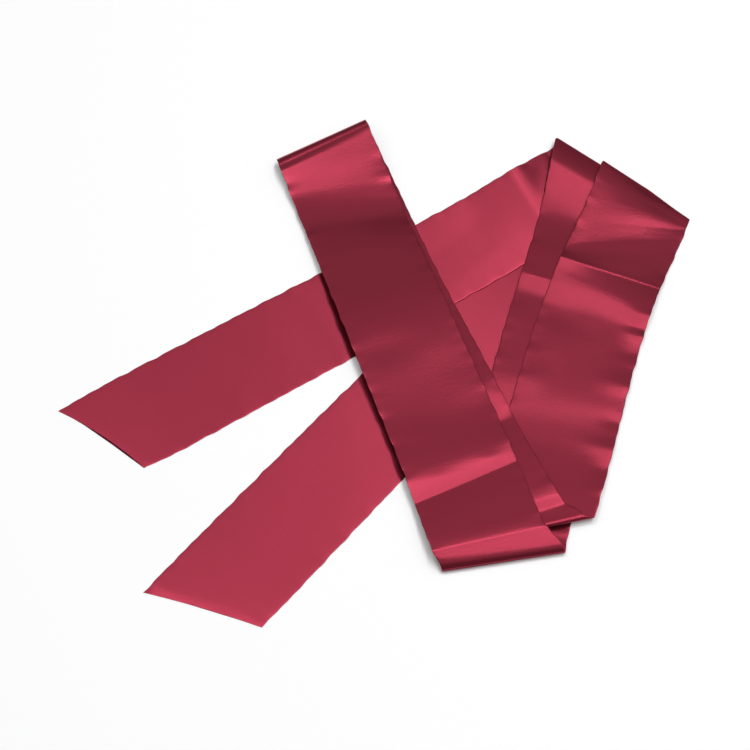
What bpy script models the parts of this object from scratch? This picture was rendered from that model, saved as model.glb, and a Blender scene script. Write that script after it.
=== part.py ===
"""Satin sash belt, laid down folded on a flat surface.

The sash is one flat tube of satin, 100 mm wide and about 3 m long, with both ends cut on a slant.
It lies in six stretches, joined at five folds:

    upper tail - corner fold - inner right band - foot fold - diagonal band - middle fold
    - under diagonal band - inner foot fold - right band - outer corner fold - lower tail

Each stretch is a solid of its own: a wall of cloth along a centre line, through sections that
give its slant and its height at both edges. The stretches are laid down in stacking order, each
one settled on what lies below it. X is to the right, Y away from the viewer and Z up.
"""

import math

import bpy
import numpy as np

MM = 0.001                # one millimetre in metres; all sizes below are in millimetres

WIDTH = 100.0             # finished width of the sash
WALL = 1.0                # two plies of satin and the seam allowance turned in between them
FLAT = 0.5 * WALL         # height of the wall's middle where it lies on the surface
SEAM = 0.3                # gap between two stretches where they meet in a fold
CLEARANCE = 0.45          # least gap between one layer and the next
PLAN_CENTRE = (9.9, 27.4)  # middle of the laid sash in the plan coordinates of the tables

FACET = 11.0              # longest facet along the sash
ACROSS = 8                # facets across the sash
ROLL_FACETS = 8           # facets round a fold
FINE = 8                  # points per facet when one layer is compared with the next
CELL = 1.5                # cell of the height map that holds the layers laid so far
MAP_HALF = 400.0          # half the side of that map
SETTLING_ROUNDS = 12      # passes that lift a stretch clear of what lies below it

SATIN = {"colour": (0.30, 0.022, 0.042, 1.0), "roughness": 0.38, "metallic": 0.0}

# Columns: centre line x, y.
# Sections: distance along the centre line, slant of the section in degrees (its edge A ahead),
# height of the wall's middle at edge A, at edge B, and whether the section is a sharp crease.
# Edge A is the sash's upper left edge in plan, so it lies left of some headings, right of others.
LEFT, RIGHT = 1, -1
SOFT, CREASE = False, True

LOWER_TAIL = {
    "edge_a": LEFT,
    "centre": ((-145.5, -236.5), (-74.5, -151.3), (3.5, -58.3), (93, 44), (180, 134), (266, 214)),
    "sections": (
        (0.0, -21.9, FLAT, FLAT, SOFT),
        (300.0, 0.0, FLAT, FLAT, SOFT),
        (608.8, -7.9, FLAT, FLAT, SOFT),
    ),
}
UPPER_TAIL = {
    "edge_a": LEFT,
    "centre": ((-246.5, -69.3), (-152, -7.3), (-36.8, 67.6), (63, 132), (137, 183), (227, 248)),
    "sections": (
        (0.0, -20.0, FLAT, FLAT, SOFT),
        (300.0, 0.0, FLAT, FLAT, SOFT),
        (490.0, 0.0, 0.8, FLAT, SOFT),
        (535.0, -8.0, 3.4, 1.0, SOFT),
        (564.9, -13.2, 5.6, 1.9, SOFT),
    ),
}
INNER_RIGHT_BAND = {
    "edge_a": RIGHT,
    "centre": ((227, 249), (213, 187), (198, 132), (182, 81), (159, 1), (133, -97), (110, -190)),
    "sections": (
        (6.0, -28.7, 8.9, 7.0, SOFT),
        (23.5, -20.2, 9.6, 7.4, SOFT),
        (80.5, -2.3, 4.2, 4.2, SOFT),
        (154.8, 1.3, 7.8, 7.4, CREASE),
        (175.0, 1.0, 5.0, 5.0, SOFT),
        (222.0, 1.2, 4.0, 3.5, SOFT),
        (300.0, 0.0, 2.4, 2.0, SOFT),
        (400.0, 10.0, FLAT, FLAT, SOFT),
        (449.0, 20.9, FLAT, FLAT, SOFT),
    ),
}
RIGHT_BAND = {
    "edge_a": LEFT,
    "centre": ((132, -167), (151, -112), (172.5, -42), (205, 61), (227.5, 119), (259, 190), (269, 216)),
    "sections": (
        (2.8, -31.6, 1.9, 1.9, SOFT),
        (50.0, -16.0, 2.2, 3.0, SOFT),
        (90.0, -6.0, 2.6, 3.0, SOFT),
        (145.0, 0.0, 3.6, 3.2, SOFT),
        (200.0, 0.0, 3.8, 4.0, SOFT),
        (235.0, 2.6, 5.2, 6.0, SOFT),
        (262.5, 2.9, 7.4, 9.0, SOFT),
        (291.8, -1.1, 10.0, 8.8, CREASE),
        (336.0, -27.0, 8.2, 6.5, SOFT),
        (383.0, 19.0, 9.8, 8.2, SOFT),
        (400.3, 19.7, 9.2, 7.2, SOFT),
    ),
}
UNDER_DIAGONAL_BAND = {
    "edge_a": RIGHT,
    "centre": ((-52.5, 282), (-27, 212), (8, 114), (57, -10), (100, -117), (122, -166)),
    "sections": (
        (3.7, 9.3, FLAT, FLAT, SOFT),
        (100.0, 0.0, 0.6, 0.8, SOFT),
        (170.0, 0.0, 2.0, 3.4, SOFT),
        (260.0, 0.0, 4.0, 5.0, SOFT),
        (335.0, 5.0, 5.0, 5.6, SOFT),
        (375.0, 5.0, 3.0, 3.4, SOFT),
        (400.0, 0.0, 3.4, 4.6, SOFT),
        (452.0, -8.0, 5.5, 6.5, SOFT),
        (479.0, -10.0, 5.4, 5.8, SOFT),
    ),
}
DIAGONAL_BAND = {
    "edge_a": LEFT,
    "centre": ((102, -194.5), (75, -102), (24, 46), (-24.5, 193), (-54.5, 283)),
    "sections": (
        (7.3, 11.8, 7.8, 7.8, SOFT),
        (31.0, 6.6, 9.0, 9.0, SOFT),
        (79.6, -5.7, 2.5, 4.6, CREASE),
        (101.4, -5.1, 7.6, 8.4, SOFT),
        (125.0, 1.0, 9.0, 9.2, SOFT),
        (189.0, 8.0, 8.6, 8.8, SOFT),
        (253.0, -2.0, 8.6, 9.0, SOFT),
        (334.5, -6.0, 7.0, 7.4, SOFT),
        (381.6, -3.0, 5.0, 5.3, SOFT),
        (428.6, 9.0, 3.2, 3.6, SOFT),
        (451.5, 7.0, 5.6, 6.0, SOFT),
        (478.0, -5.0, 9.0, 8.6, SOFT),
        (487.0, -9.5, 7.8, 8.3, CREASE),
        (491.0, -9.8, 8.4, 8.3, CREASE),
        (497.0, -10.5, 7.6, 7.6, SOFT),
    ),
}

# How far each fold rolls out past the line where its two stretches end.
CORNER_ROLL = 4.2
OUTER_CORNER_ROLL = 5.2
MIDDLE_ROLL = 5.0
FOOT_ROLL = 7.5
INNER_FOOT_ROLL = 4.0

START, END = 0, -1


def spline_curvatures(knots, values):
    """Second derivatives at the knots of the smooth curve through the values, straight at its ends."""
    count = len(knots)
    step = np.diff(knots)
    slope = np.diff(values, axis=0) / step[:, None]
    system = np.eye(count)
    right = np.zeros_like(values)
    for i in range(1, count - 1):
        system[i, i - 1:i + 2] = step[i - 1], 2 * (step[i - 1] + step[i]), step[i]
        right[i] = 6 * (slope[i] - slope[i - 1])
    return np.linalg.solve(system, right)


class CentreLine:
    """Smooth plan curve through a few points, with a straight run beyond each end."""

    def __init__(self, points):
        self.points = np.array(points, float)
        runs = np.linalg.norm(np.diff(self.points, axis=0), axis=1)
        self.knots = np.concatenate([[0.0], np.cumsum(runs)])
        self.bends = spline_curvatures(self.knots, self.points)

    def at(self, along):
        """Point and unit heading at each distance along the line."""
        inside = np.clip(along, self.knots[0], self.knots[-1])
        i = np.clip(np.searchsorted(self.knots, inside) - 1, 0, len(self.knots) - 2)
        step = (self.knots[i + 1] - self.knots[i])[:, None]
        b = (inside - self.knots[i])[:, None] / step
        a = 1 - b
        bend_a, bend_b = self.bends[i], self.bends[i + 1]
        start, end = self.points[i], self.points[i + 1]
        point = a * start + b * end + ((a**3 - a) * bend_a + (b**3 - b) * bend_b) * step**2 / 6
        heading = (end - start) / step + ((3 * b**2 - 1) * bend_b - (3 * a**2 - 1) * bend_a) * step / 6
        heading /= np.linalg.norm(heading, axis=1)[:, None]
        return point + (along - inside)[:, None] * heading, heading


def eased(x, y, creased, at):
    """Values at the places asked for: smooth through the rows, with a kink at each crease."""
    secant = np.diff(y) / np.diff(x)
    arriving = np.concatenate([secant[:1], secant])
    leaving = np.concatenate([secant, secant[-1:]])
    same_way = arriving * leaving > 0
    mean = np.where(same_way, 2 * arriving * leaving / np.where(same_way, arriving + leaving, 1), 0)
    mean[[0, -1]] = secant[[0, -1]]
    arriving = np.where(creased, arriving, mean)
    leaving = np.where(creased, leaving, mean)
    i = np.clip(np.searchsorted(x, at, side="right") - 1, 0, len(x) - 2)
    step = x[i + 1] - x[i]
    u = (at - x[i]) / step
    return (y[i] * (1 + 2 * u) * (1 - u)**2 + y[i + 1] * u**2 * (3 - 2 * u)
            + step * (leaving[i] * u * (1 - u)**2 - arriving[i + 1] * u**2 * (1 - u)))


def laid_grid(stretch):
    """Points of a stretch, rows along and columns across from edge A to edge B."""
    along, slant, height_a, height_b, creased = (np.array(c, float) for c in zip(*stretch["sections"]))
    smooth = np.zeros_like(creased)
    places = [along[:1]]
    for start, end in zip(along, along[1:]):
        count = math.ceil((end - start) / FACET)
        places.append(np.linspace(start, end, count + 1)[1:])
    places = np.concatenate(places)
    lean = np.tan(np.radians(eased(along, slant, smooth, places)))
    height_a = eased(along, height_a, creased, places)
    height_b = eased(along, height_b, creased, places)
    line = CentreLine(stretch["centre"])
    columns = []
    for share in np.linspace(0, 1, ACROSS + 1):
        offset = WIDTH * (0.5 - share)
        point, heading = line.at(places + lean * offset)
        normal = np.stack([-heading[:, 1], heading[:, 0]], axis=1)
        plan = point + stretch["edge_a"] * offset * normal
        height = height_a + (height_b - height_a) * share
        columns.append(np.column_stack([plan, height]))
    return np.stack(columns, axis=1)


def refined(grid):
    """The same surface with FINE points to each facet, both ways."""
    for _ in ("rows", "columns"):
        start, end = grid[:-1], grid[1:]
        steps = [start + (end - start) * k / FINE for k in range(FINE)]
        fine = np.stack(steps, axis=1).reshape(-1, *grid.shape[1:])
        grid = np.concatenate([fine, grid[-1:]]).swapaxes(0, 1)
    return grid


class Pile:
    """Height map of the layers laid so far."""

    def __init__(self):
        side = round(2 * MAP_HALF / CELL)
        self.top = np.zeros((side, side))

    def cells(self, points):
        index = ((points[..., :2] + MAP_HALF) / CELL).astype(int)
        return index[..., 0], index[..., 1]

    def add(self, grid):
        fine = refined(grid)
        np.maximum.at(self.top, self.cells(fine), fine[..., 2] + 0.5 * WALL)

    def under(self, points):
        """Highest thing below each point, in its own cell and the eight around it."""
        x, y = self.cells(points)
        near = [self.top[x + i, y + j] for i in (-1, 0, 1) for j in (-1, 0, 1)]
        return np.max(near, axis=0)


def settle(grid, pile):
    """Lifts the grid's points until every facet is clear of the pile."""
    rows, columns = grid.shape[:2]
    for _ in range(SETTLING_ROUNDS):
        fine = refined(grid)
        floor = pile.under(fine)
        need = np.where(floor > 0, floor + CLEARANCE, 0) + 0.5 * WALL
        short = np.maximum(need - fine[..., 2], 0)
        reach = np.pad(short, FINE)
        for i in range(rows):
            for j in range(columns):
                around = reach[i * FINE:(i + 2) * FINE + 1, j * FINE:(j + 2) * FINE + 1]
                grid[i, j, 2] += 0.5 * around.max()
    return grid


def rolled(grid, end, other, other_end, bulge):
    """The grid with a roll added at one end, which leads round to the end of the other stretch."""
    own_row, other_row = grid[end], other[other_end]
    inner = grid[1 if end == START else -2]
    run = own_row[-1, :2] - own_row[0, :2]
    out = np.array([-run[1], run[0]]) / np.linalg.norm(run)
    if np.dot(own_row[0, :2] - inner[0, :2], out) < 0:
        out = -out
    rows = []
    for k in range(1, ROLL_FACETS + 1):
        turn = math.pi * k / ROLL_FACETS
        share = 0.5 * (1 - math.cos(turn))
        row = own_row + (other_row - own_row) * share
        row[:, :2] += out * (bulge * math.sin(turn) + SEAM * share)
        rows.append(row)
    if end == START:
        return np.concatenate([rows[::-1], grid])
    return np.concatenate([grid, rows])


def satin():
    material = bpy.data.materials.new("satin")
    material.use_nodes = True
    shader = material.node_tree.nodes["Principled BSDF"]
    shader.inputs["Base Color"].default_value = SATIN["colour"]
    shader.inputs["Roughness"].default_value = SATIN["roughness"]
    shader.inputs["Metallic"].default_value = SATIN["metallic"]
    material.diffuse_color = SATIN["colour"]
    return material


def cloth_piece(name, grid, material):
    """A named solid: the grid as a mesh, with the wall's thickness grown to both sides of it."""
    rows, columns = grid.shape[:2]
    points = grid.reshape(-1, 3) - (*PLAN_CENTRE, 0)
    faces = []
    for i in range(rows - 1):
        for j in range(columns - 1):
            corner = i * columns + j
            faces.append((corner, corner + columns, corner + columns + 1, corner + 1))
    mesh = bpy.data.meshes.new(name)
    mesh.from_pydata((points * MM).tolist(), [], faces)
    mesh.materials.append(material)
    mesh.shade_smooth()
    piece = bpy.data.objects.new(name, mesh)
    bpy.context.collection.objects.link(piece)
    wall = piece.modifiers.new("wall", "SOLIDIFY")
    wall.thickness = WALL * MM
    wall.offset = 0.0
    return piece


def lay(stretch, pile):
    grid = settle(laid_grid(stretch), pile)
    pile.add(grid)
    return grid


def main():
    for item in list(bpy.data.objects):
        bpy.data.objects.remove(item)
    material = satin()
    pile = Pile()
    lower_tail = lay(LOWER_TAIL, pile)
    upper_tail = lay(UPPER_TAIL, pile)
    inner_right = lay(INNER_RIGHT_BAND, pile)
    inner_right = rolled(inner_right, START, upper_tail, END, CORNER_ROLL)
    pile.add(inner_right)
    right = lay(RIGHT_BAND, pile)
    under_diagonal = lay(UNDER_DIAGONAL_BAND, pile)
    right = rolled(right, START, under_diagonal, END, INNER_FOOT_ROLL)
    right = rolled(right, END, lower_tail, END, OUTER_CORNER_ROLL)
    pile.add(right)
    diagonal = lay(DIAGONAL_BAND, pile)
    diagonal = rolled(diagonal, START, inner_right, END, FOOT_ROLL)
    diagonal = rolled(diagonal, END, under_diagonal, START, MIDDLE_ROLL)
    cloth_piece("lower_tail", lower_tail, material)
    cloth_piece("upper_tail", upper_tail, material)
    cloth_piece("inner_right_band", inner_right, material)
    cloth_piece("right_band", right, material)
    cloth_piece("under_diagonal_band", under_diagonal, material)
    cloth_piece("diagonal_band", diagonal, material)


main()
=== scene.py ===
"""Satin sash belt laid down folded on a white surface, seen from the front and above.

The sash is one flat tube of satin. It is built as one closed thin shell that runs through all six
stretches of the frame and round the five folds between them. Each stretch has a table of rows:
how far along each edge the row lies and how steeply the cloth rises there. The heights follow
from those slopes, and each stretch settles on the ones below it.
"""

import math

import bpy
import numpy as np
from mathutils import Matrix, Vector


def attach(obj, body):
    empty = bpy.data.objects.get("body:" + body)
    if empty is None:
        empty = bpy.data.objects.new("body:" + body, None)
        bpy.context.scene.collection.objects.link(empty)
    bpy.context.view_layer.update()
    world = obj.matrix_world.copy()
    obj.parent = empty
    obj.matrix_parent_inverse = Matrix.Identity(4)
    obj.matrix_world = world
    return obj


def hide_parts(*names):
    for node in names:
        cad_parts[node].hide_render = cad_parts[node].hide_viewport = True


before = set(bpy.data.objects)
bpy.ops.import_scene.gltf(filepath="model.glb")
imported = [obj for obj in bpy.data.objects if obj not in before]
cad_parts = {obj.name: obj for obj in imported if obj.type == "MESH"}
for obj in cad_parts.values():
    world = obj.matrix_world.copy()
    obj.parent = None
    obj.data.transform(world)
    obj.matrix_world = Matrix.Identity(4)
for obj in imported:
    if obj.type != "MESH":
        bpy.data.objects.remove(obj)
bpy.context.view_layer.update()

MM = 0.001                    # one millimetre in metres; the sash's sizes are in millimetres
WIDTH = 100.0                 # finished width of the sash
THICKNESS = 0.55              # thickness of the flat tube, both layers together
END_THICKNESS = 0.35          # thickness right at the cut ends
END_TAPER = 10.0              # length over which a cut end grows to the full thickness
ROUND = 1.4                   # how far in from an edge the tube's face curves down
GAP = 0.18                    # least gap between one layer and the next
FLOOR_GAP = 0.01              # least gap between the cloth and the floor
PLAN_CENTRE = (9.9, 27.4)     # middle of the laid sash in the plan coordinates of the tables

EDGE_WOBBLE = 0.34            # how far the edges wander in plan
EDGE_RIPPLE = 0.11            # how far they rise and fall
RIPPLE_REACH = 5.0            # how fast the ripples die away from an edge
MAIN_PACE = 3.1               # distance along an edge in which the first wave turns by one radian
BEAT_PACE = 11.3              # the same for the wave that makes the first one swell and fade
MINOR_PACE = 5.2              # the same for the wave that is added to them
BEAT_SHIFT = 1.7              # how far those two are out of step with the first, as shares of its phase
MINOR_SHIFT = 2.3
MINOR_SHARE = 0.6             # height of the third wave beside the first
BOW_REACH = 60.0              # how far in from a cut end its bow dies away
PINCH_REACH = 25.0            # how far in from a cut end its pinch dies away

STEP = 2.4                    # distance between rows along the sash
LANES = 22                    # columns across, without those that round the edges
EDGE_LANES = (0.0, 0.25, 0.7, 1.4)    # distances in from an edge of the columns that round it
FOLD_ROWS = 14                # rows round a fold
CELL = 1.5                    # cell of the height map that holds the layers laid so far
MAP_HALF = 400.0              # half the side of that map
CELL_OVERLAP = 1.3            # points that fill the map are closer than a cell by this factor
SETTLE_REACHES = (4, 3, 2, 2, 1, 1, 1, 1, 1)    # rows and columns that each round of settling eases

# Each stretch is a table, and these are its columns.
# centre: x and y of points on the centre line, from the stretch's first end to its last.
# start: height at edge A and at edge B where the rows begin.
# rows: distance along at edge A, distance along at edge B, rise in degrees at edge A, at edge B.
# dents: distance along, offset towards edge A, reach along, reach across, height.
# bow: how far the middle of a cut end lies in from its corners.
# pinch: how far the corners of a cut end draw together.
# flare and splay: shift towards edge B at the first end and at the last: at edge A, at edge B, reach.
# edge_a: side of the heading on which edge A lies, the upper left edge in plan.
# A rise is positive where the cloth climbs along the line.
LEFT, RIGHT = 1, -1

LOWER_TAIL = {
    "edge_a": LEFT,
    "centre": ((-145.5, -236.5), (-74.5, -151.3), (3.5, -58.3), (93, 44), (180, 134), (266, 214)),
    "start": (0.26, 0.26),
    "bow": 1.5,
    "pinch": 0.8,
    "rows": (
        (-20.1, 20.1, 0.5, 0.5),
        (-19.7, 20.5, 0.5, 0.5),
        (-11, 29, 0.4, 0.4),
        (-9, 31, 0.1, 0.1),
        (60, 60, 0.0, 0.0),
        (300, 300, 0.0, 0.0),
        (602, 616, 0.0, 0.0),
    ),
    "dents": (
        (75, 20, 30, 30, 0.25),
        (160, -30, 35, 25, 0.30),
        (215, 25, 20, 30, 0.25),
        (262, -20, 22, 25, 0.30),
    ),
}
UPPER_TAIL = {
    "edge_a": LEFT,
    "centre": ((-246.5, -69.3), (-152, -7.3), (-36.8, 67.6), (63, 132), (137, 183), (227, 248)),
    "start": (0.26, 0.26),
    "bow": 4.0,
    "pinch": 2.2,
    "rows": (
        (-18.2, 18.2, 0.5, 0.5),
        (-17.8, 18.6, 0.5, 0.5),
        (-9, 27, 0.4, 0.4),
        (-7, 29, 0.1, 0.1),
        (60, 60, 0.0, 0.0),
        (300, 300, 0.0, 0.0),
        (425, 410, 0.0, 0.0),
        (450, 438, 3.4, 1.5),
        (489, 470, 3.8, 1.8),
        (496, 478, -1.0, -1.0),
        (506, 490, -4.0, -3.5),
        (520, 503, -7.0, -6.0),
        (540, 524, -8.0, -2.0),
        (549, 562, -6.0, 0.0),
        (553.2, 576.6, -2.0, 0.0),
    ),
    "dents": (
        (60, 25, 25, 25, 0.20),
        (122, -40, 14, 18, 0.35),
        (185, 10, 25, 35, 0.25),
        (237, -20, 14, 40, 0.25),
        (400, 30, 25, 22, 0.20),
    ),
}
INNER_RIGHT_BAND = {
    "edge_a": RIGHT,
    "centre": ((227, 249), (213, 187), (198, 132), (182, 81), (159, 1), (133, -97), (110, -190)),
    "start": (8.9, 5.6),
    "rows": (
        (-21.5, 31, 6, 6),
        (-13, 36, 4, 4),
        (-2, 43, 2, 2),
        (5, 49, -2, -2),
        (12, 57, -6.3, -6.3),
        (66, 74, -6.3, -6.3),
        (80, 84, -2, -2),
        (91, 93, 1.4, 1.2),
        (153, 156, 1.4, 1.2),
        (154.2, 157.2, -6.5, -6.5),
        (166, 168, -6.5, -6.5),
        (178, 182, 0, 0),
        (265, 262, 0, 0),
        (280, 280, -2.0, -2.0),
        (310, 310, -2.0, -2.0),
        (335, 335, 0, 0),
        (392, 390, 0, 0),
        (398, 395, 3, 4.5),
        (425, 411, 3, 4.5),
        (440, 418, 2, 0),
        (455, 424, 2, 4),
        (467, 431, 2, 5),
    ),
    "dents": (
        (120, 30, 16, 18, 0.3),
        (205, 44, 14, 10, 0.3),
        (404, -46, 4, 12, 0.35),
        (413, -38, 3.5, 10, -0.3),
    ),
}
RIGHT_BAND = {
    "edge_a": LEFT,
    "centre": ((132, -167), (151, -112), (172.5, -42), (205, 61), (227.5, 119), (259, 190), (269, 216)),
    "start": (6.0, 6.0),
    "rows": (
        (-28, 34, -0.5, -2.6),
        (10, 48, -0.5, -2.6),
        (34, 66, -2.4, -2.6),
        (84, 84, -2.4, -2.4),
        (100, 100, -1.0, -1.0),
        (130, 130, -0.3, -0.3),
        (180, 180, 0.0, 0.0),
        (222, 218, 0.8, 0.8),
        (240, 236, 2.2, 2.6),
        (256, 247, 4.2, 5.0),
        (268, 258, 5.2, 5.0),
        (277, 270, 6.0, -1.5),
        (292.5, 295.5, 7.5, -5.5),
        (293.8, 297.0, 10, 8),
        (294.8, 298.2, -6, -6),
        (304, 332, -4.5, -2.2),
        (311, 366, 4.2, -2.2),
        (340, 377, 4.6, -2.2),
        (398, 383, 4.0, -2.5),
        (407, 386, 1, -2.5),
        (413, 388, -1.5, -2.5),
        (418, 389.5, -2.5, -2.5),
        (421, 390.5, -5, -5),
    ),
    "dents": (
        (60, -52, 7, 12, 0.5),
        (81, -52, 7, 14, -0.5),
        (104, -52, 8, 20, 0.8),
        (134, -52, 9, 18, -0.5),
        (174, -52, 12, 22, 1.0),
        (212, -52, 10, 20, -0.6),
        (234, -52, 6, 16, 0.7),
        (243, -52, 5, 12, -0.5),
        (257, -52, 7, 22, 0.7),
        (160, 40, 16, 14, 0.4),
        (205, 48, 14, 12, -0.35),
        (235, 30, 14, 20, -0.25),
    ),
}
UNDER_DIAGONAL_BAND = {
    "edge_a": RIGHT,
    "centre": ((-52.5, 282), (-27, 212), (8, 114), (57, -10), (100, -117), (122, -166)),
    "start": (1.7, 1.7),
    "rows": (
        (11.9, -4.5, 0, 0),
        (100, 100, 0.4, 0.5),
        (230, 230, 0.4, 0.6),
        (250, 250, 0.4, 1.6),
        (328, 326, 0.4, 1.6),
        (342, 342, -1.6, -3.0),
        (370, 370, -1.6, -3.0),
        (374, 375, 3.0, 3.4),
        (444, 450, 2.8, 3.2),
        (454, 462, 0, 0),
        (458, 466, -6, -6),
        (462, 473, -6, -6),
        (464, 476.5, 3.5, 3.5),
        (471.5, 491.5, 5, 5),
    ),
    "splay": (2.0, 10.0, 10.0),
}
DIAGONAL_BAND = {
    "edge_a": LEFT,
    "centre": ((102, -194.5), (75, -102), (24, 46), (-25.2, 193), (-57.2, 282.6)),
    "start": (3.6, 3.9),
    "flare": (4.5, 12.0, 15.0),
    "rows": (
        (4.5, -7, 50, 46),
        (7, -4.5, 40, 37),
        (10, -1, 31, 26),
        (14, 5, 27, 20),
        (17.5, 11, 20, 14),
        (20, 16, 8, 8),
        (21.6, 17.8, 0, 0),
        (27, 25, -2.2, -2.2),
        (34, 33, -3.6, -3.4),
        (42, 42, -4.6, -4.2),
        (70.5, 86, -5.6, -5.0),
        (71.5, 87, 3.6, 3.8),
        (92, 97, 3.0, 3.6),
        (103, 107, -1.5, -1.5),
        (122, 122, -2.8, -2.8),
        (138, 138, -1.6, -1.6),
        (160, 155, 1.2, 1.2),
        (200, 200, 2.0, 2.2),
        (240, 240, 2.2, 2.4),
        (268, 270, -0.4, -0.4),
        (300, 300, -2.9, -3.5),
        (395, 378, -2.9, -3.5),
        (418, 395, 1.0, 2.0),
        (432, 406, 4.0, 7.0),
        (438, 420, 7.2, 7.8),
        (444, 427, 9.3, 8.8),
        (470, 484, 9.6, 8.6),
        (472, 489.5, -2, 5),
        (476, 491.5, -4, -1),
        (478, 493.5, 9, 6),
        (479.5, 495, 9, 6),
        (480.5, 496, 0, 0),
        (483, 498, -8, -8),
    ),
    "dents": (
        (40, -20, 9, 26, -0.15),
        (90, 20, 6, 16, 0.25),
        (95, -30, 5, 10, 0.30),
        (176, -42, 22, 22, 0.3),
        (224, -30, 20, 26, 0.3),
        (236, 25, 16, 26, -0.4),
        (140, 30, 20, 26, 0.4),
        (320, 20, 30, 30, -0.35),
        (355, -30, 25, 25, 0.35),
        (431, -47, 6, 9, 0.2),
        (462, -10, 14, 30, 0.15),
    ),
}
# How far each fold rolls out past the line where its two stretches end.
CORNER_ROLL = 5.0
OUTER_CORNER_ROLL = 5.2
MIDDLE_ROLL = 5.0
FOOT_ROLL = 3.4
INNER_FOOT_ROLL = 3.0
ROLL_HEIGHT = 6.0             # a fold rolls out in full where its layers are this far apart
LEAST_ROLL = 0.3              # share of the roll that is left where they touch
HALF_TURN = 180.0             # degrees through which a closed fold turns
FOOT_TURN = 85.0              # degrees through which the foot turns before the diagonal's first row

# Look of the satin. The grain's scale counts its flecks in a metre across and along the sash.
GRAIN_SCALE = (620.0, 460.0, 1.0)
GRAIN_STRENGTH = 0.22
GRAIN_DEPTH = 0.0003          # in metres
GRAIN_DARK = (0.060, 0.0055, 0.0104, 1)
GRAIN_LIGHT = (0.104, 0.0100, 0.0186, 1)
SHEEN_TINT = (1.0, 0.10, 0.18, 1.0)

# Surroundings, in metres, degrees and watts.
FLOOR_HALF = 4.0
FLOOR_COLOUR = (0.98, 0.98, 0.985, 1)
WORLD_STRENGTH = 0.14
# Columns: name, place, size, turn in plan, power.
SOFTBOXES = (
    ("overhead", (0.0, 0.1, 2.5), (5.2, 5.2), 0.0, 48.0),
    ("right", (1.58, -0.11, 5.0), (5.56, 0.30), 87.4, 148.0),
    ("left", (-1.53, 1.40, 5.0), (1.9, 0.8), 0.0, 48.0),
)
CAMERA_AIM = (-0.0099, -0.0274, 0.0)
CAMERA_DISTANCE = 1.479
CAMERA_ELEVATION = 56.67
LENS = 76.99                  # focal length and sensor width in millimetres
SENSOR = 36.0


def spline_curvatures(knots, values):
    """Second derivatives at the knots of the smooth curve through the values, straight at its ends."""
    count = len(knots)
    step = np.diff(knots)
    slope = np.diff(values, axis=0) / step[:, None]
    system = np.eye(count)
    right = np.zeros_like(values)
    for i in range(1, count - 1):
        system[i, i - 1:i + 2] = step[i - 1], 2 * (step[i - 1] + step[i]), step[i]
        right[i] = 6 * (slope[i] - slope[i - 1])
    return np.linalg.solve(system, right)


class CentreLine:
    """Smooth plan curve through a few points, with a straight run beyond each end."""

    def __init__(self, points):
        self.points = np.array(points, float)
        runs = np.linalg.norm(np.diff(self.points, axis=0), axis=1)
        self.knots = np.concatenate([[0.0], np.cumsum(runs)])
        self.bends = spline_curvatures(self.knots, self.points)

    def at(self, along):
        """Point and unit heading at each distance along the line."""
        inside = np.clip(along, self.knots[0], self.knots[-1])
        i = np.clip(np.searchsorted(self.knots, inside) - 1, 0, len(self.knots) - 2)
        step = (self.knots[i + 1] - self.knots[i])[..., None]
        b = (inside - self.knots[i])[..., None] / step
        a = 1 - b
        bend_a, bend_b = self.bends[i], self.bends[i + 1]
        start, end = self.points[i], self.points[i + 1]
        point = a * start + b * end + ((a**3 - a) * bend_a + (b**3 - b) * bend_b) * step**2 / 6
        heading = (end - start) / step + ((3 * b**2 - 1) * bend_b - (3 * a**2 - 1) * bend_a) * step / 6
        heading /= np.linalg.norm(heading, axis=-1)[..., None]
        return point + (along - inside)[..., None] * heading, heading


def lane_offsets():
    """Distances from the centre line of the columns, from edge A to edge B."""
    half = WIDTH / 2
    edge = half - np.array(EDGE_LANES)
    middle = np.linspace(edge[-1], -edge[-1], LANES + 1)[1:-1]
    return np.concatenate([edge, middle, -edge[::-1]])


OFFSETS = lane_offsets()


def running_height(start, rise, along):
    """Height along an edge that starts at a height and rises as stated."""
    slope = np.tan(np.radians(rise))
    climbs = 0.5 * (slope[1:] + slope[:-1]) * np.diff(along)
    return start + np.concatenate([[0.0], np.cumsum(climbs)])


def edge_wave(along, phase):
    """Uneven wave with a crest every 20 to 30 mm, as the seam draws the cloth up."""
    main = np.sin(along / MAIN_PACE + phase)
    beat = np.sin(along / BEAT_PACE + BEAT_SHIFT * phase)
    minor = np.sin(along / MINOR_PACE + MINOR_SHIFT * phase)
    return main * beat + MINOR_SHARE * minor


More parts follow.
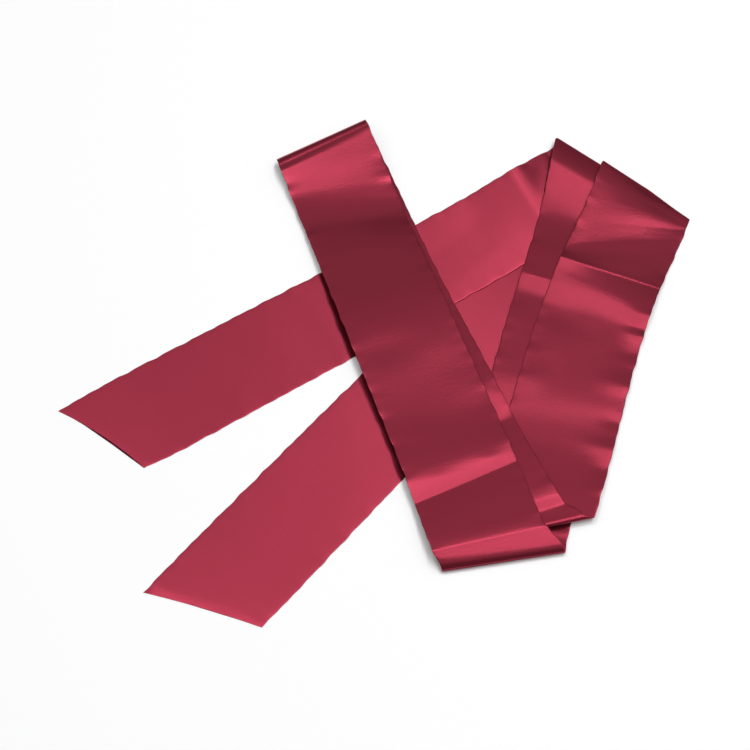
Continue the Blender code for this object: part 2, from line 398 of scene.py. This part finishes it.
def laid_grid(stretch):
    """Middle surface of a stretch: rows along and columns across from edge A to edge B."""
    rows = np.array(stretch["rows"], float)
    parts = [rows[:1]]
    for first, second in zip(rows, rows[1:]):
        gap = max(second[0] - first[0], second[1] - first[1])
        count = max(2, math.ceil(gap / STEP))
        parts.append(first + (second - first) * np.linspace(0, 1, count + 1)[1:, None])
    along_a, along_b, rise_a, rise_b = np.concatenate(parts).T
    height_a = running_height(stretch["start"][0], rise_a, along_a)
    height_b = running_height(stretch["start"][1], rise_b, along_b)
    share = 0.5 - OFFSETS / WIDTH
    along = along_a[:, None] + (along_b - along_a)[:, None] * share
    from_end = (along_a - along_a[0] + along_b - along_b[0])[:, None] / 2
    near_end = np.clip(1 - from_end / BOW_REACH, 0, 1)
    along = along + stretch.get("bow", 0) * 4 * share * (1 - share) * near_end
    point, heading = CentreLine(stretch["centre"]).at(along)
    normal = np.stack([-heading[..., 1], heading[..., 0]], axis=-1)
    plan = point + stretch["edge_a"] * OFFSETS[:, None] * normal
    height = height_a[:, None] + (height_b - height_a)[:, None] * share
    for place, offset, reach, reach_across, lift in stretch.get("dents", ()):
        from_middle = ((along - place) / reach)**2 + ((OFFSETS - offset) / reach_across)**2
        height += lift * np.exp(-from_middle)
    pinch = stretch.get("pinch", 0) * np.exp(-(from_end / PINCH_REACH)**2) * OFFSETS / (WIDTH / 2)
    plan -= (stretch["edge_a"] * pinch)[..., None] * normal
    to_end = from_end[-1] - from_end
    for key, distance in (("flare", from_end), ("splay", to_end)):
        shift_a, shift_b, reach = stretch.get(key, (0, 0, 1))
        shift = (shift_a + (shift_b - shift_a) * share) * np.exp(-(distance / reach)**2)
        plan -= (stretch["edge_a"] * shift)[..., None] * normal
    for side in (1, -1):
        wave = edge_wave(along, side + stretch["centre"][0][0])
        near = np.exp(-(WIDTH / 2 - side * OFFSETS) / RIPPLE_REACH)
        height += EDGE_RIPPLE * wave * near
        plan += (stretch["edge_a"] * side * EDGE_WOBBLE * wave * near)[..., None] * normal
    return np.concatenate([plan, height[..., None]], axis=-1)


def end_growth(from_end):
    """Share of the full thickness at a distance from a cut end, where the tube is thinner."""
    u = np.clip(from_end / END_TAPER, 0, 1)
    return END_THICKNESS / THICKNESS + (1 - END_THICKNESS / THICKNESS) * u * (2 - u)


class Pile:
    """Height map of the layers laid so far."""

    def __init__(self):
        side = round(2 * MAP_HALF / CELL)
        self.top = np.zeros((side, side))

    def cells(self, points):
        """Indices in the map of the cells that hold the points."""
        index = ((points[..., :2] + MAP_HALF) / CELL).astype(int)
        return index[..., 0], index[..., 1]

    def add(self, grid):
        """Raises the map to the upper side of a settled layer."""
        fine = refined(grid)
        np.maximum.at(self.top, self.cells(fine), fine[..., 2] + 0.5 * THICKNESS)

    def under(self, points):
        """Highest thing below each point, in its own cell and the eight around it."""
        x, y = self.cells(points)
        near = [self.top[x + i, y + j] for i in (-1, 0, 1) for j in (-1, 0, 1)]
        return np.max(near, axis=0)


def refined(grid):
    """The same surface with no gap between its points wider than a cell."""
    for _ in ("rows", "columns"):
        reach = np.linalg.norm(np.diff(grid[..., :2], axis=0), axis=-1).max()
        fine = math.ceil(CELL_OVERLAP * reach / CELL)
        start, end = grid[:-1], grid[1:]
        steps = [start + (end - start) * k / fine for k in range(fine)]
        merged = np.stack(steps, axis=1).reshape(-1, *grid.shape[1:])
        grid = np.concatenate([merged, grid[-1:]]).swapaxes(0, 1)
    return grid


def spread(lift, reach):
    """The lift widened and then smoothed, so that the cloth eases over what it lies on."""
    for combine in (np.max, np.mean):
        for axis in (0, 1):
            margins = [(reach, reach) if k == axis else (0, 0) for k in (0, 1)]
            padded = np.pad(lift, margins, mode="edge")
            size = lift.shape[axis]
            shifted = [np.take(padded, range(k, k + size), axis) for k in range(2 * reach + 1)]
            lift = combine(shifted, axis=0)
    return lift


def settle(grid, pile, has_cut_end):
    """Lifts the grid clear of the pile."""
    from_end = np.linalg.norm(grid[:, :, :2] - grid[0, :, :2], axis=-1)
    half = 0.5 * THICKNESS * (end_growth(from_end) if has_cut_end else 1)
    for reach in SETTLE_REACHES:
        below = pile.under(grid)
        need = np.where(below > 0, below + GAP, FLOOR_GAP) + half
        short = np.maximum(need - grid[..., 2], 0)
        grid[..., 2] += spread(short, reach)
    return grid


def lay(stretch, pile):
    """Middle surface of a stretch, settled on the pile and added to it."""
    grid = settle(laid_grid(stretch), pile, "pinch" in stretch)
    pile.add(grid)
    return grid


def fold(row, inner, other, roll, turns=HALF_TURN):
    """Rows that lead from the last row of one stretch round to the first row of the next."""
    run = row[-1, :2] - row[0, :2]
    out = np.array([-run[1], run[0]]) / np.linalg.norm(run)
    if np.dot(row[0, :2] - inner[0, :2], out) < 0:
        out = -out
    rows = []
    end = math.radians(turns)
    rise = np.abs(other[:, 2] - row[:, 2])
    bulge = roll * np.clip(rise / ROLL_HEIGHT, LEAST_ROLL, 1)[:, None]
    for k in range(1, FOLD_ROWS):
        turn = end * k / FOLD_ROWS
        share = (1 - math.cos(turn)) / (1 - math.cos(end))
        between = row + (other - row) * share
        between[:, :2] += out * bulge * (math.sin(turn) - share * math.sin(end))
        rows.append(between)
    return np.array(rows)


def tube_mesh(name, grid):
    """Closed shell round a middle surface, thin, with rounded edges and closed ends."""
    rows, lanes = grid.shape[:2]
    along = np.gradient(grid, axis=0)
    across = np.gradient(grid, axis=1)
    normal = np.cross(along, across)
    normal /= np.linalg.norm(normal, axis=-1)[..., None]
    middle = grid[:, lanes // 2]
    path = np.concatenate([[0.0], np.cumsum(np.linalg.norm(np.diff(middle, axis=0), axis=1))])
    inward = np.clip((WIDTH / 2 - np.abs(OFFSETS)) / ROUND, 0, 1)
    swell = np.sqrt(1 - (1 - inward)**2)
    half = 0.5 * THICKNESS * end_growth(np.minimum(path, path[-1] - path))[:, None] * swell[None, :]
    face = grid + normal * half[..., None]
    back = grid - normal * half[..., None]
    ring = np.concatenate([face, back[:, -2:0:-1]], axis=1)
    ring_offsets = np.concatenate([OFFSETS, OFFSETS[-2:0:-1]])
    count = ring.shape[1]
    points = (ring.reshape(-1, 3) - (*PLAN_CENTRE, 0)) * MM
    index = np.arange(rows * count).reshape(rows, count)
    here, there = index[:-1], index[1:]
    quads = np.stack([here, np.roll(here, -1, 1), np.roll(there, -1, 1), there], axis=-1)
    faces = quads.reshape(-1, 4).tolist()
    faces.append(index[0][::-1].tolist())
    faces.append(index[-1].tolist())
    mesh = bpy.data.meshes.new(name)
    mesh.from_pydata(points.tolist(), [], faces)
    mesh.validate()
    uv = mesh.uv_layers.new(name="cloth")
    place_across = np.broadcast_to(ring_offsets + WIDTH / 2, (rows, count))
    place_along = np.broadcast_to(path[:, None], (rows, count))
    place = np.stack([place_across, place_along], axis=-1).reshape(-1, 2) * MM
    corners = np.empty(len(mesh.loops), int)
    mesh.loops.foreach_get("vertex_index", corners)
    uv.data.foreach_set("uv", place[corners].ravel())
    mesh.shade_smooth()
    piece = bpy.data.objects.new(name, mesh)
    bpy.context.scene.collection.objects.link(piece)
    return piece, path[-1]


def build_sash():
    """The whole sash and its length: stretches laid from the bottom up, then joined from tip to tip."""
    pile = Pile()
    lower = lay(LOWER_TAIL, pile)
    upper = lay(UPPER_TAIL, pile)
    inner = lay(INNER_RIGHT_BAND, pile)
    right = lay(RIGHT_BAND, pile)
    under = lay(UNDER_DIAGONAL_BAND, pile)
    diagonal = lay(DIAGONAL_BAND, pile)
    corner = fold(upper[-1], upper[-2], inner[0], CORNER_ROLL)
    foot = fold(inner[-1], inner[-2], diagonal[0], FOOT_ROLL, FOOT_TURN)
    middle = fold(diagonal[-1], diagonal[-2], under[0], MIDDLE_ROLL)
    inner_foot = fold(under[-1], under[-2], right[0], INNER_FOOT_ROLL)
    outer_corner = fold(right[-1], right[-2], lower[-1], OUTER_CORNER_ROLL)
    first_half = [upper, corner, inner, foot, diagonal, middle]
    second_half = [under, inner_foot, right, outer_corner, lower[::-1]]
    return tube_mesh("sash", np.concatenate(first_half + second_half))


def satin():
    """Dark red polyester satin: the warp floats run along the sash, so its sheen is broad across."""
    material = bpy.data.materials.new("satin")
    material.use_nodes = True
    nodes, links = material.node_tree.nodes, material.node_tree.links
    shader = nodes["Principled BSDF"]
    shader.inputs["Roughness"].default_value = 0.30
    shader.inputs["Metallic"].default_value = 0.0
    shader.inputs["Specular IOR Level"].default_value = 1.0
    shader.inputs["Specular Tint"].default_value = SHEEN_TINT
    shader.inputs["Anisotropic"].default_value = 0.98
    shader.inputs["IOR"].default_value = 2.08
    tangent = nodes.new("ShaderNodeTangent")
    tangent.direction_type = "UV_MAP"
    tangent.uv_map = "cloth"
    links.new(tangent.outputs["Tangent"], shader.inputs["Tangent"])
    place = nodes.new("ShaderNodeUVMap")
    place.uv_map = "cloth"
    stretch = nodes.new("ShaderNodeMapping")
    stretch.inputs["Scale"].default_value = GRAIN_SCALE
    links.new(place.outputs["UV"], stretch.inputs["Vector"])
    floats = nodes.new("ShaderNodeTexNoise")
    floats.inputs["Scale"].default_value = 1.0
    floats.inputs["Detail"].default_value = 3.0
    links.new(stretch.outputs["Vector"], floats.inputs["Vector"])
    bump = nodes.new("ShaderNodeBump")
    bump.inputs["Strength"].default_value = GRAIN_STRENGTH
    bump.inputs["Distance"].default_value = GRAIN_DEPTH
    links.new(floats.outputs["Fac"], bump.inputs["Height"])
    links.new(bump.outputs["Normal"], shader.inputs["Normal"])
    shade = nodes.new("ShaderNodeValToRGB")
    shade.color_ramp.elements[0].color = GRAIN_DARK
    shade.color_ramp.elements[1].color = GRAIN_LIGHT
    links.new(floats.outputs["Fac"], shade.inputs["Fac"])
    links.new(shade.outputs["Color"], shader.inputs["Base Color"])
    return material


def floor():
    """White surface that the sash lies on."""
    mesh = bpy.data.meshes.new("floor")
    corners = [(x * FLOOR_HALF, y * FLOOR_HALF, 0) for x, y in ((-1, -1), (1, -1), (1, 1), (-1, 1))]
    mesh.from_pydata(corners, [], [(0, 1, 2, 3)])
    plane = bpy.data.objects.new("floor", mesh)
    bpy.context.scene.collection.objects.link(plane)
    material = bpy.data.materials.new("white_surface")
    material.use_nodes = True
    shader = material.node_tree.nodes["Principled BSDF"]
    shader.inputs["Base Color"].default_value = FLOOR_COLOUR
    shader.inputs["Roughness"].default_value = 0.9
    shader.inputs["Specular IOR Level"].default_value = 0.0
    mesh.materials.append(material)


def softbox(name, place, size, turn, power):
    """Light panel that hangs level and faces down, turned in plan by some degrees."""
    light = bpy.data.lights.new(name, "AREA")
    light.shape = "RECTANGLE"
    light.size, light.size_y = size
    light.energy = power
    lamp = bpy.data.objects.new(name, light)
    lamp.location = place
    lamp.rotation_euler = (0.0, 0.0, math.radians(turn))
    bpy.context.scene.collection.objects.link(lamp)


def studio():
    """Even white surroundings and three softboxes."""
    world = bpy.data.worlds.new("studio")
    world.use_nodes = True
    background = world.node_tree.nodes["Background"]
    background.inputs["Color"].default_value = (1, 1, 1, 1)
    background.inputs["Strength"].default_value = WORLD_STRENGTH
    bpy.context.scene.world = world
    for row in SOFTBOXES:
        softbox(*row)
    bpy.context.scene.view_settings.view_transform = "Standard"


def camera():
    """Camera at the viewing angle, aimed at the middle of the sash."""
    lens = bpy.data.cameras.new("camera")
    lens.sensor_width = SENSOR
    lens.lens = LENS
    body = bpy.data.objects.new("camera", lens)
    aim = Vector(CAMERA_AIM)
    elevation = math.radians(CAMERA_ELEVATION)
    back, up = CAMERA_DISTANCE * math.cos(elevation), CAMERA_DISTANCE * math.sin(elevation)
    body.location = aim + Vector((0, -back, up))
    body.rotation_euler = (aim - body.location).to_track_quat("-Z", "Y").to_euler()
    bpy.context.scene.collection.objects.link(body)
    bpy.context.scene.camera = body


sash, length = build_sash()
sash.data.materials.append(satin())
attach(sash, "root")
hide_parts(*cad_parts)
floor()
studio()
camera()
